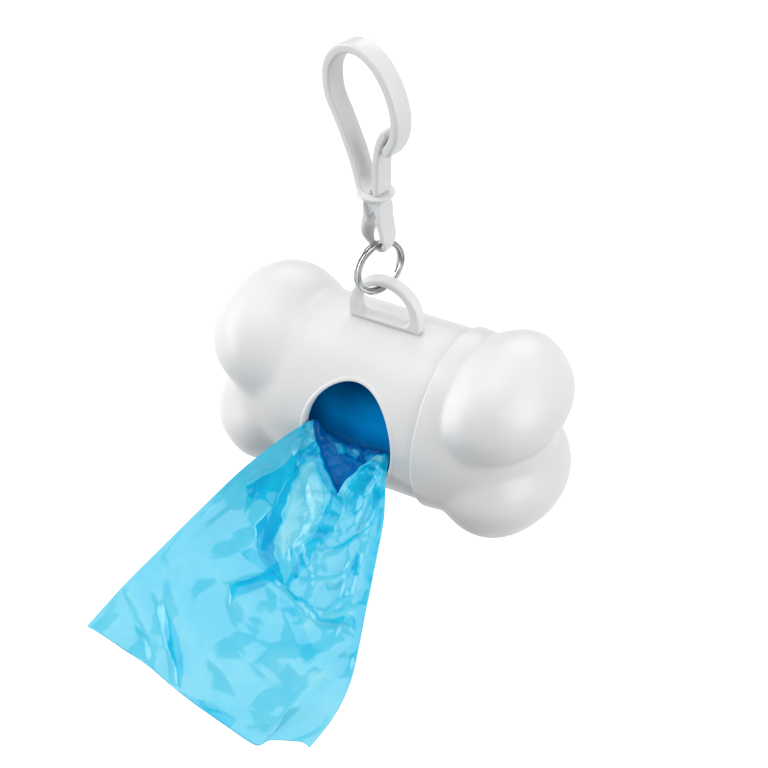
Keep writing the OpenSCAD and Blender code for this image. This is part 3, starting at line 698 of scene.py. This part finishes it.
# %% Where the folds and the flaps lie
FOLDS = [
    # from (u, v), to (u, v), height, width on the left, width on the right, in mm
    ((0.08, 0.03), (0.30, 0.165), 0.6, 3.5, 1.6), ((0.30, 0.165), (0.57, 0.29), 0.7, 5.0, 1.8),
    ((0.30, 0.165), (0.47, 0.46), 0.6, 1.8, 4.0), ((0.57, 0.29), (0.57, 0.42), 0.5, 3.0, 1.6),
    ((0.10, 0.03), (0.04, 0.60), 0.35, 2.5, 6.0), ((0.63, 0.19), (0.72, 0.07), 0.8, 1.6, 3.0),
    ((0.63, 0.19), (0.66, 0.42), 0.5, 1.8, 4.0), ((0.91, 0.02), (0.68, 0.18), 0.7, 2.6, 2.2),
    ((0.68, 0.18), (0.71, 0.30), 0.5, 2.0, 3.0), ((0.96, 0.06), (0.81, 0.31), 0.6, 2.0, 2.6),
    ((0.97, 0.08), (0.93, 0.62), 0.45, 1.6, 2.0), ((0.68, 0.45), (0.93, 0.28), 0.4, 1.6, 3.0),
    ((0.64, 0.52), (0.92, 0.42), 0.35, 1.4, 3.0), ((0.55, 0.54), (0.97, 0.61), 0.55, 6.0, 1.6),
    ((0.37, 0.66), (0.55, 0.53), 0.4, 1.6, 4.0), ((0.16, 0.80), (0.46, 1.0), 0.45, 6.0, 2.2),
    ((0.05, 0.84), (0.30, 0.97), 0.25, 3.5, 1.8), ((0.55, 0.56), (0.80, 0.74), 0.3, 4.0, 3.0),
    ((0.30, 0.62), (0.24, 0.97), 0.35, 8.0, 8.0), ((0.97, 0.62), (0.80, 0.98), 0.5, 2.5, 8.0),
    ((0.50, 0.80), (0.95, 0.84), 0.3, 5.0, 6.0), ((0.10, 0.10), (0.26, 0.38), 0.35, 3.0, 1.8),
    ((0.20, 0.55), (0.05, 0.80), 0.3, 6.0, 4.0), ((0.85, 0.35), (0.88, 0.50), 0.35, 1.2, 1.2)]
FLAPS = [
    # strength, then the corners (u, v) of the doubled film
    (0.62, (0.17, 0.81), (0.29, 0.86), (0.39, 0.92), (0.455, 0.99), (0.34, 0.94), (0.25, 0.88)),
    (0.62, (0.36, 0.65), (0.40, 0.60), (0.50, 0.52), (0.56, 0.54), (0.43, 0.655), (0.41, 0.69)),
    (0.50, (0.33, 0.54), (0.36, 0.505), (0.43, 0.485), (0.51, 0.515), (0.49, 0.54), (0.41, 0.545)),
    (0.64, (0.25, 0.06), (0.387, 0.096), (0.337, 0.131), (0.296, 0.175), (0.317, 0.236), (0.362, 0.297),
     (0.377, 0.358), (0.427, 0.376), (0.432, 0.441), (0.457, 0.476), (0.538, 0.515), (0.603, 0.555),
     (0.482, 0.537), (0.387, 0.507), (0.291, 0.441), (0.312, 0.371), (0.302, 0.297), (0.261, 0.201)),
    (0.55, (0.25, 0.06), (0.45, 0.13), (0.66, 0.19), (0.60, 0.22), (0.50, 0.19), (0.42, 0.155),
     (0.34, 0.131)),
    (0.60, (0.53, 0.53), (0.62, 0.55), (0.74, 0.563), (0.86, 0.59), (0.95, 0.575), (0.975, 0.615),
     (0.86, 0.605), (0.75, 0.582), (0.64, 0.565), (0.54, 0.548)),
    (0.56, (0.09, 0.345), (0.116, 0.319), (0.171, 0.236), (0.201, 0.118), (0.226, 0.048), (0.312, 0.061),
     (0.307, 0.131), (0.291, 0.188), (0.286, 0.258), (0.312, 0.354), (0.226, 0.354), (0.166, 0.367)),
    (0.50, (0.548, 0.153), (0.663, 0.188), (0.714, 0.249), (0.704, 0.328), (0.663, 0.402), (0.633, 0.48),
     (0.618, 0.555), (0.593, 0.555), (0.578, 0.454), (0.598, 0.371), (0.618, 0.297), (0.588, 0.227)),
    (0.50, (0.47, 0.42), (0.54, 0.44), (0.62, 0.48), (0.64, 0.52), (0.60, 0.50), (0.53, 0.455)),
    (0.45, (0.653, 0.389), (0.759, 0.345), (0.859, 0.293), (0.859, 0.31), (0.784, 0.354), (0.678, 0.397)),
    (0.60, (0.729, 0.266), (0.774, 0.223), (0.844, 0.188), (0.839, 0.201), (0.769, 0.245)),
    (0.40, (0.678, 0.188), (0.744, 0.074), (0.874, 0.044), (0.869, 0.162), (0.774, 0.223), (0.734, 0.262)),
    (0.20, (0.874, 0.044), (0.98, 0.057), (0.965, 0.183), (0.93, 0.293), (0.889, 0.275), (0.864, 0.175)),
    (0.45, (0.879, 0.424), (0.869, 0.371), (0.874, 0.341), (0.91, 0.38), (0.93, 0.441), (0.849, 0.437)),
    (0.26, (0.90, 0.12), (0.93, 0.30), (0.955, 0.45), (0.965, 0.70), (1.01, 0.70), (1.01, 0.12)),
    (0.25, (0.09, 0.88), (0.13, 0.905), (0.30, 0.965), (0.17, 0.935)),
    (0.35, (0.12, 0.30), (0.20, 0.36), (0.22, 0.42), (0.15, 0.37)),
    (0.25, (0.57, 0.57), (0.68, 0.66), (0.80, 0.73), (0.86, 0.70), (0.70, 0.61)),
    (0.45, (0.43, 0.995), (0.52, 0.985), (0.64, 0.972), (0.69, 0.975), (0.70, 1.02), (0.43, 1.02)),
    (-0.25, (0.31, 0.18), (0.34, 0.14), (0.44, 0.17), (0.56, 0.24), (0.59, 0.30), (0.57, 0.38), (0.50, 0.47),
     (0.44, 0.44), (0.43, 0.37), (0.37, 0.33)),
    (-0.9, (0.37, 0.03), (0.52, 0.02), (0.66, 0.03), (0.64, 0.06), (0.53, 0.045), (0.46, 0.07)),
    (-0.9, (0.72, 0.02), (0.83, 0.015), (0.93, 0.02), (0.92, 0.05), (0.82, 0.04), (0.76, 0.055))]
THROAT = [(-0.04, -0.03), (-0.04, 0.02), (0.10, 0.04), (0.266, 0.074), (0.442, 0.135), (0.628, 0.192),
          (0.668, 0.131), (0.719, 0.074), (0.809, 0.03), (0.93, 0.0), (0.95, -0.03)]
print(len(FOLDS), "folds,", len(FLAPS), "flaps")


# %% One fold, one flap, and crumples
def crest(a, b, height, left, right):
    """A fold with a sharp crest from a to b, sloping to nothing over left and right mm, and
    lower towards its two ends."""
    (ax, ay), (bx, by) = flat_place(*a), flat_place(*b)
    length = np.hypot(bx - ax, by - ay)
    along = ((s - ax) * (bx - ax) + (t - ay) * (by - ay)) / length
    aside = ((t - ay) * (bx - ax) - (s - ax) * (by - ay)) / length
    slope = 1 - np.abs(aside) / np.where(aside < 0, left, right)
    ends = np.minimum(along, length - along) / (0.3 * length) + 0.4
    return height * np.clip(np.minimum(slope, ends), 0, 1)


def flap(corners, soft=0.4):
    """1 inside the outline and 0 outside it, changing over soft mm; slow waves bend its sides.
    A point is inside where a line from it crosses the outline an odd number of times."""
    x, y = np.array([flat_place(*corner) for corner in corners]).T
    inside, near = np.zeros(s.shape, bool), np.full(s.shape, np.inf)
    sw = s + 0.22 * np.sin(t / 1.3) + 0.12 * np.sin(t / 0.6 + s)
    tw = t + 0.22 * np.sin(s / 1.5 + 1) + 0.12 * np.sin(s / 0.7 - t)
    for ax, ay, bx, by in zip(x, y, np.roll(x, -1), np.roll(y, -1)):
        dx, dy = bx - ax, by - ay
        k = np.clip(((sw - ax) * dx + (tw - ay) * dy) / (dx * dx + dy * dy), 0, 1)
        near = np.minimum(near, np.hypot(sw - ax - k * dx, tw - ay - k * dy))
        inside ^= ((ay > tw) != (by > tw)) & (sw < ax + (tw - ay) * dx / (dy or 1))
    return smooth(0.5 + np.where(inside, near, -near) / soft)


def fold(t):
    """A triangle wave from -1 to 1 with period 1 and slightly rounded creases."""
    return np.arcsin(0.985 * np.sin(2 * np.pi * t)) / 1.4


def crumple(seed, size):
    """Sum of seven triangle waves at seeded angles, each strong in its own patches, about 1 mm
    high. The waves are about size mm long, and slow sines warp them."""
    rng = np.random.default_rng(seed)
    total = 0
    for i in range(7):
        angle, phase = rng.uniform(0, np.pi), rng.uniform(0, 1, 3)
        length = size * rng.uniform(0.6, 1.7)
        warp = 0.35 * (np.sin(2 * np.pi * (s / (size * 3.1) + phase[1]))
                       + np.sin(2 * np.pi * (t / (size * 2.7) + phase[2])))
        patch = smooth(0.5 + 0.9 * np.sin(2 * np.pi * (s / (size * 4.3) + phase[2]) + 1.7 * i)
                       * np.cos(2 * np.pi * (t / (size * 3.9) + phase[1]) - i))
        across_wave = (s * np.cos(angle) + t * np.sin(angle)) / length
        total = total + patch * length / size * fold(across_wave + warp + phase[0])
    return total / 4


# %% [markdown]
# The heights of folds, flaps and crumples add up to one lift, and each point of the smooth
# sheet moves by it along the sheet's normal. At the side edges the lift fades, so that the
# bag keeps its outline, and near the opening fine pleats are added.

# %% The crumpled sheet
MOST_DOUBLED, FLAP_STEP, THROAT_DROP, FILM_T = 0.72, 0.22, 0.9, 0.06
normal = np.cross(np.gradient(sheet_points, axis=1), np.gradient(sheet_points, axis=0))
normal /= np.linalg.norm(normal, axis=-1, keepdims=True)
normal *= np.sign(normal[..., 2:3].mean())
flaps = [(strength, flap(corners)) for strength, *corners in FLAPS]
doubled = np.minimum(sum(strength * mask for strength, mask in flaps), MOST_DOUBLED)
doubled *= 0.92 + 0.35 * crumple(5, 14)
throat = flap(THROAT)
near_mouth = 1 - smooth(v / 0.16)
right_pleats = smooth((u - 0.35) / 0.25) * (1 - smooth((v - 0.45) / 0.25))
inside_edge = smooth(np.minimum(u, 1 - u) / 0.04) * 0.8 + 0.2
lift = sum(crest(*one) for one in FOLDS) + FLAP_STEP * doubled - THROAT_DROP * throat * smooth(v / 0.05)
lift += 0.55 * crumple(3, 15) + 0.12 * crumple(8, 7) * (1 - 0.6 * v)
lift += 0.7 * near_mouth * crumple(21, 3.4) + 0.34 * right_pleats * crumple(13, 5.5)
lift *= inside_edge
bag_points = sheet_points + normal * lift[..., None] + BARREL
first_bag = surface("first_bag", [bag_points], sharp=180, weld=0.0005)
thickness = first_bag.modifiers.new("film", "SOLIDIFY")
thickness.thickness = FILM_T * MM
thickness.offset = 0
patches = np.cross(np.diff(bag_points, axis=0)[:, :-1], np.diff(bag_points, axis=1)[:-1])
print("bag's area in mm2", round(float(np.linalg.norm(patches, axis=-1).sum())))

# %% [markdown]
# Film colour follows the layers of film that light passes, with painted light and shade added
# to the same number: pale where the bag lies in one or two layers, deeper in a flap, and deep
# blue in the throat, which is partly more layers and partly painted shade inside the opening.
# The colour also deepens towards the opening, the hollows of the crumples get painted shade and
# their crests painted light, and the flaps' edges get a pale painted highlight. It is worked
# out once and stored on the mesh, so the colour stays with the film when it moves.

# %% Layers on the film
def blurred(field, times):
    """Each value becomes the mean of itself and its four neighbours, times over."""
    for _ in range(times):
        f = np.pad(field, 1, mode="edge")
        field = (f[1:-1, 1:-1] * 2 + f[:-2, 1:-1] + f[2:, 1:-1] + f[1:-1, :-2] + f[1:-1, 2:]) / 6
    return field


# Painted highlight: the doubled flaps get a pale line along their edges.
painted_flap_edge_highlight = sum(4 * mask * (1 - mask) for strength, mask in flaps if strength > 0.3)
in_roll = 1 - smooth(v / 0.02)
# Painted shade in the hollows of the crumpled film, and painted light on its crests.
painted_hollow_shade = blurred(lift, 24) - blurred(lift, 1)
# The colour deepens towards the opening. The throat and the film going into the roll are partly more layers
# and partly painted shade inside the opening.
layers_and_painted_light = 0.10 + 0.15 * (1 - v) + 0.58 * doubled - 0.12 * painted_flap_edge_highlight
layers_and_painted_light += 0.60 * throat + 0.12 * near_mouth + 0.3 * in_roll
layers_and_painted_light += 0.16 * np.clip(painted_hollow_shade / 0.25, -0.4, 1) + 0.05 * crumple(5, 18) + 0.04 * crumple(31, 8)
layers_and_painted_light = np.clip(layers_and_painted_light, 0, 1)
assert len(first_bag.data.vertices) == layers_and_painted_light.size
stored = first_bag.data.attributes.new("layers_and_painted_light", "FLOAT", "POINT")
stored.data.foreach_set("value", layers_and_painted_light.astype(np.float32).ravel())
print("layers from", layers_and_painted_light.min().round(2), "to", layers_and_painted_light.max().round(2))

# %% [markdown]
# Materials. A shader group holds what several finishes share: here the fine unevenness of
# a moulded or rolled surface, as a height for the Bump node and a roughness that wanders.
# Two small helpers keep the cells below short: one adds a node with its settings, the other
# a colour ramp with its stops.

# %% Helpers for shader nodes
FLOAT = "NodeSocketFloat"


def group_with(name, inputs, outputs):
    """A shader node group with number inputs of the given values and number outputs."""
    tree = bpy.data.node_groups.new(name, "ShaderNodeTree")
    for label, value in inputs.items():
        socket = tree.interface.new_socket(label, in_out="INPUT", socket_type=FLOAT)
        socket.default_value = value
    for label in outputs:
        tree.interface.new_socket(label, in_out="OUTPUT", socket_type=FLOAT)
    return tree, tree.nodes.new("NodeGroupInput"), tree.nodes.new("NodeGroupOutput")


def node(tree, kind, **settings):
    """Adds a node; settings are its properties, or its inputs where the name is an input's."""
    made = tree.nodes.new(kind)
    for label, value in settings.items():
        if hasattr(made, label):
            setattr(made, label, value)
        else:
            made.inputs[label.replace("_", " ")].default_value = value
    return made


def ramp(tree, stops):
    """A colour ramp with the given (position, colour) stops."""
    made = tree.nodes.new("ShaderNodeValToRGB")
    elements = made.color_ramp.elements
    while len(elements) < len(stops):
        elements.new(0.5)
    for element, (position, colour) in zip(elements, stops):
        element.position, element.color = position, (*colour, 1)
    return made


# %% Fine unevenness, shared by all finishes
uneven, given, made = group_with(
    "uneven_surface", {"Size": 900.0, "Rough low": 0.3, "Rough high": 0.4}, ["Height", "Roughness", "Cloud"])
place = node(uneven, "ShaderNodeTexCoord")
fine = node(uneven, "ShaderNodeTexNoise", Detail=3.0, Roughness=0.6)
broad = node(uneven, "ShaderNodeTexNoise", Scale=55.0, Detail=2.0)
spread = node(uneven, "ShaderNodeMapRange", From_Min=0.3, From_Max=0.7)
for start, end in (
        (place.outputs["Object"], fine.inputs["Vector"]), (place.outputs["Object"], broad.inputs["Vector"]),
        (given.outputs["Size"], fine.inputs["Scale"]), (fine.outputs["Fac"], made.inputs["Height"]),
        (broad.outputs["Fac"], made.inputs["Cloud"]), (broad.outputs["Fac"], spread.inputs["Value"]),
        (given.outputs["Rough low"], spread.inputs["To Min"]),
        (given.outputs["Rough high"], spread.inputs["To Max"]),
        (spread.outputs["Result"], made.inputs["Roughness"])):
    uneven.links.new(start, end)
print(uneven.name, "gives", [socket.name for socket in made.inputs if socket.name])

# %% [markdown]
# Every finish starts the same way: a Principled shader whose roughness and relief come from
# the group, with its other settings typed straight into its sockets. What differs is the
# colour, so a second helper lays a ramp of tones along any number that a node puts out.

# %% The start of every finish
def uneven_material(name, size, rough, bump, bump_mm=0.2, **principled):
    """A material on the shared unevenness, and the group's node in it."""
    material = bpy.data.materials.new(name)
    material.use_nodes = True
    tree = material.node_tree
    shader = tree.nodes["Principled BSDF"]
    shared = node(tree, "ShaderNodeGroup", node_tree=uneven)
    for label, value in zip(("Size", "Rough low", "Rough high"), (size, *rough)):
        shared.inputs[label].default_value = value
    relief = node(tree, "ShaderNodeBump", Strength=bump, Distance=bump_mm * MM)
    tree.links.new(shared.outputs["Roughness"], shader.inputs["Roughness"])
    tree.links.new(shared.outputs["Height"], relief.inputs["Height"])
    tree.links.new(relief.outputs["Normal"], shader.inputs["Normal"])
    for label, value in principled.items():
        shader.inputs[label.replace("_", " ")].default_value = value
    print(name, "roughness", rough, "relief", bump, "of", bump_mm, "mm")
    return material, shared


def colour_along(material, number, stops):
    """Base Color from a ramp of (position, colour) stops along a number from another node."""
    tree = material.node_tree
    tones = ramp(tree, stops)
    tree.links.new(number, tones.inputs["Fac"])
    tree.links.new(tones.outputs["Color"], tree.nodes["Principled BSDF"].inputs["Base Color"])


# %% [markdown]
# White moulded plastic is satin rather than glossy, and never one even white. Two whites a
# little apart follow the broad cloud, and the fine noise gives it the faintest grain. The
# hook is moulded from a slightly cooler and glossier plastic. Cardboard is rough and matt.

# %% White plastic and cardboard
def two_tones(name, low, high, size, rough, bump, **principled):
    """A finish whose colour wanders between two tones with the group's cloud."""
    material, shared = uneven_material(name, size, rough, bump, **principled)
    colour_along(material, shared.outputs["Cloud"], [(0.3, low), (0.7, high)])
    return material


white_plastic = two_tones("white_plastic", (0.80, 0.80, 0.80), (0.835, 0.835, 0.835), 1400.0,
                          (0.30, 0.40), 0.05, Specular_IOR_Level=0.45)
hook_plastic = two_tones("hook_plastic", (0.78, 0.78, 0.785), (0.82, 0.82, 0.825), 1600.0,
                         (0.26, 0.36), 0.05, Specular_IOR_Level=0.5)
core_board = two_tones("core_board", (0.40, 0.29, 0.18), (0.52, 0.40, 0.27), 1100.0, (0.75, 0.9), 0.6)

# %% [markdown]
# Bright steel shows what is round it, and between white walls it would look like plastic.
# Its colour carries painted reflections instead: darker and lighter bands along the wire, from
# a stretched noise that runs on the coordinates that were stored on the ring, so that they
# follow the wire round its turns.

# %% Steel wire with painted reflections
ring_steel = uneven_material("ring_steel", 2600.0, (0.10, 0.18), 0.10, Metallic=1.0)[0]
steel = ring_steel.node_tree
stored_wire = node(steel, "ShaderNodeAttribute", attribute_name="wire")
painted_reflection_bands = node(steel, "ShaderNodeTexNoise", Scale=2.3, Detail=1.0)
steel.links.new(stored_wire.outputs["Vector"], painted_reflection_bands.inputs["Vector"])
# Painted reflections: the steel's colour runs from nearly black to bright in bands along the wire.
colour_along(ring_steel, painted_reflection_bands.outputs["Fac"], [(0.3, (0.03, 0.03, 0.031)), (0.7, (0.85, 0.85, 0.86))])

# %% [markdown]
# The film is thin polyethylene: a little see-through and glossy in one layer, deep blue and
# duller where many lie on each other, because light is lost between them. The stored number
# of layers, with the painted shade and painted highlights added to it, drives all three: the
# colour, the alpha, and a clear coat that gives the glints on the creases. The roll is many
# layers everywhere, so its blue only follows the broad cloud.

# %% Film
FILM = {"size": 420.0, "rough": (0.13, 0.22), "bump": 0.35, "bump_mm": 0.3}
PALE_TO_DEEP = [(0.0, (0.22, 0.73, 0.87)), (0.15, (0.11, 0.65, 0.89)), (0.42, (0.0, 0.52, 0.80)),
                (0.7, (0.0, 0.23, 0.60)), (1.0, (0.0, 0.125, 0.42))]
WOUND_BLUES = [(0.38, (0.0, 0.17, 0.50)), (0.62, (0.0, 0.33, 0.84))]


def by_layers_and_painted_light(material, label, limits, values):
    """A shader input that goes from one value to the other between two values of the stored layers and
    painted light.
    """
    tree = material.node_tree
    change = node(tree, "ShaderNodeMapRange", From_Min=limits[0], From_Max=limits[1],
                  To_Min=values[0], To_Max=values[1])
    tree.links.new(tree.nodes["Attribute"].outputs["Fac"], change.inputs["Value"])
    tree.links.new(change.outputs["Result"], tree.nodes["Principled BSDF"].inputs[label])


bag_film = uneven_material("bag_film", **FILM, Specular_IOR_Level=0.1, Coat_Roughness=0.09)[0]
stored_layers_and_painted_light = node(bag_film.node_tree, "ShaderNodeAttribute", attribute_name="layers_and_painted_light")
# The colour ramp reads the stored layers together with the painted shade and painted highlights.
colour_along(bag_film, stored_layers_and_painted_light.outputs["Fac"], PALE_TO_DEEP)
by_layers_and_painted_light(bag_film, "Alpha", (0.15, 0.4), (0.93, 1.0))
by_layers_and_painted_light(bag_film, "Coat Weight", (0.3, 0.75), (1.0, 0.0))
roll_film, shared = uneven_material("roll_film", **FILM, Specular_IOR_Level=0.02)
colour_along(roll_film, shared.outputs["Cloud"], WOUND_BLUES)

# %% [markdown]
# Each piece gets its material, rides on the body that carries it, and takes the place of
# its CAD node. The cardboard core's own solid is already right, so it only gets a finish.

# %% Dress the frame
def dress(piece, material, replaced, body=None):
    """Material, the body that carries the piece, and the CAD node that the piece stands for."""
    piece.data.materials.append(material)
    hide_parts(replaced)
    if body:
        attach(piece, body)
    print(piece.name, "stands for", replaced)


dress(bone_body, white_plastic, "body_shell", "dispenser")
dress(bone_cap, white_plastic, "end_cap", "cap")
dress(d_loop, white_plastic, "carry_loop", "dispenser")
dress(snap_hook, hook_plastic, "hook_body", "hook")
dress(snap_gate, hook_plastic, "hook_gate", "gate")
dress(key_ring, ring_steel, "split_ring", "ring")
dress(film_roll, roll_film, "bag_roll", "roll")
dress(first_bag, bag_film, "pulled_bag")
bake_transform(first_bag)
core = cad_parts["roll_core"]
core.data.materials.clear()
core.data.materials.append(core_board)

# %% [markdown]
# The object hangs in the air, so the floor lies well below it and its shadow falls out of
# the picture. A white floor would throw light up at the bone, and its underside would lose
# its shade. So the floor is grey, and only where the camera, glass or a mirror sees it
# (Light Path) it glows white. The world does the same for the camera.

# %% Floor
FLOOR_Z, FLOOR_HALF, FLOOR_GREY, FLOOR_GLOW = -0.34, 4, 0.29, 0.93
ground = bpy.data.meshes.new("ground")
corners = [(-1, -1), (1, -1), (1, 1), (-1, 1)]
ground.from_pydata([(FLOOR_HALF * x, FLOOR_HALF * y, FLOOR_Z) for x, y in corners], [], [(0, 1, 2, 3)])
floor = bpy.data.objects.new("floor", ground)
bpy.context.scene.collection.objects.link(floor)
paper = bpy.data.materials.new("paper")
paper.use_nodes = True
white = paper.node_tree
paper_shader = white.nodes["Principled BSDF"]
paper_shader.inputs["Base Color"].default_value = (FLOOR_GREY, FLOOR_GREY, FLOOR_GREY, 1)
paper_shader.inputs["Emission Color"].default_value = (FLOOR_GLOW, FLOOR_GLOW, FLOOR_GLOW, 1)
paper_shader.inputs["Roughness"].default_value = 0.9
paper_shader.inputs["Specular IOR Level"].default_value = 0.0
rays = node(white, "ShaderNodeLightPath")
seen = rays.outputs["Is Camera Ray"]
for kind in ("Is Transmission Ray", "Is Glossy Ray"):
    either = node(white, "ShaderNodeMath", operation="MAXIMUM")
    white.links.new(seen, either.inputs[0])
    white.links.new(rays.outputs[kind], either.inputs[1])
    seen = either.outputs[0]
white.links.new(seen, paper_shader.inputs["Emission Strength"])
ground.materials.append(paper)
print("floor", -FLOOR_Z, "m below the hook's loop")

# %% World
WORLD_LIGHT = 0.28
world = bpy.data.worlds.new("studio")
world.use_nodes = True
sky = world.node_tree
background = sky.nodes["Background"]
background.inputs["Color"].default_value = (1, 1, 1, 1)
direct = node(sky, "ShaderNodeLightPath")
strength = node(sky, "ShaderNodeMapRange", To_Min=WORLD_LIGHT)
sky.links.new(direct.outputs["Is Camera Ray"], strength.inputs["Value"])
sky.links.new(strength.outputs["Result"], background.inputs["Strength"])
bpy.context.scene.world = world
print("world light", WORLD_LIGHT)

# %% [markdown]
# Five large square lamps stand round the object like softboxes. A Sun would give hard
# shadows, and one big lamp would leave the lobes flat. The right one is strongest, the low
# one opens the shade under the left lobe, and the back one gives hook and bone a pale edge.

# %% Lamps
def softbox(name, offset, size, power):
    """A square lamp, offset metres from the barrel, that faces it; power in watts."""
    lamp = bpy.data.lights.new(name, "AREA")
    lamp.size, lamp.energy = size, power
    holder = bpy.data.objects.new(name, lamp)
    bpy.context.scene.collection.objects.link(holder)
    aim = Vector(BARREL * MM)
    place = Vector(BARREL * MM + offset)
    turn = (place - aim).to_track_quat("Z", "Y").to_matrix().to_4x4()
    holder.matrix_world = Matrix.Translation(place) @ turn
    print(name, power, "W")


softbox("left_lamp", [-0.9, -0.25, 0.35], 0.7, 4.8)
softbox("right_lamp", [0.95, -0.15, 0.30], 0.7, 6.2)
softbox("top_lamp", [-0.1, -0.1, 1.0], 0.8, 4.3)
softbox("low_lamp", [-0.85, -0.6, 0.05], 0.5, 2.4)
softbox("back_lamp", [-0.2, 0.9, 0.6], 0.7, 3.5)
bpy.context.scene.view_settings.view_transform = "Standard"
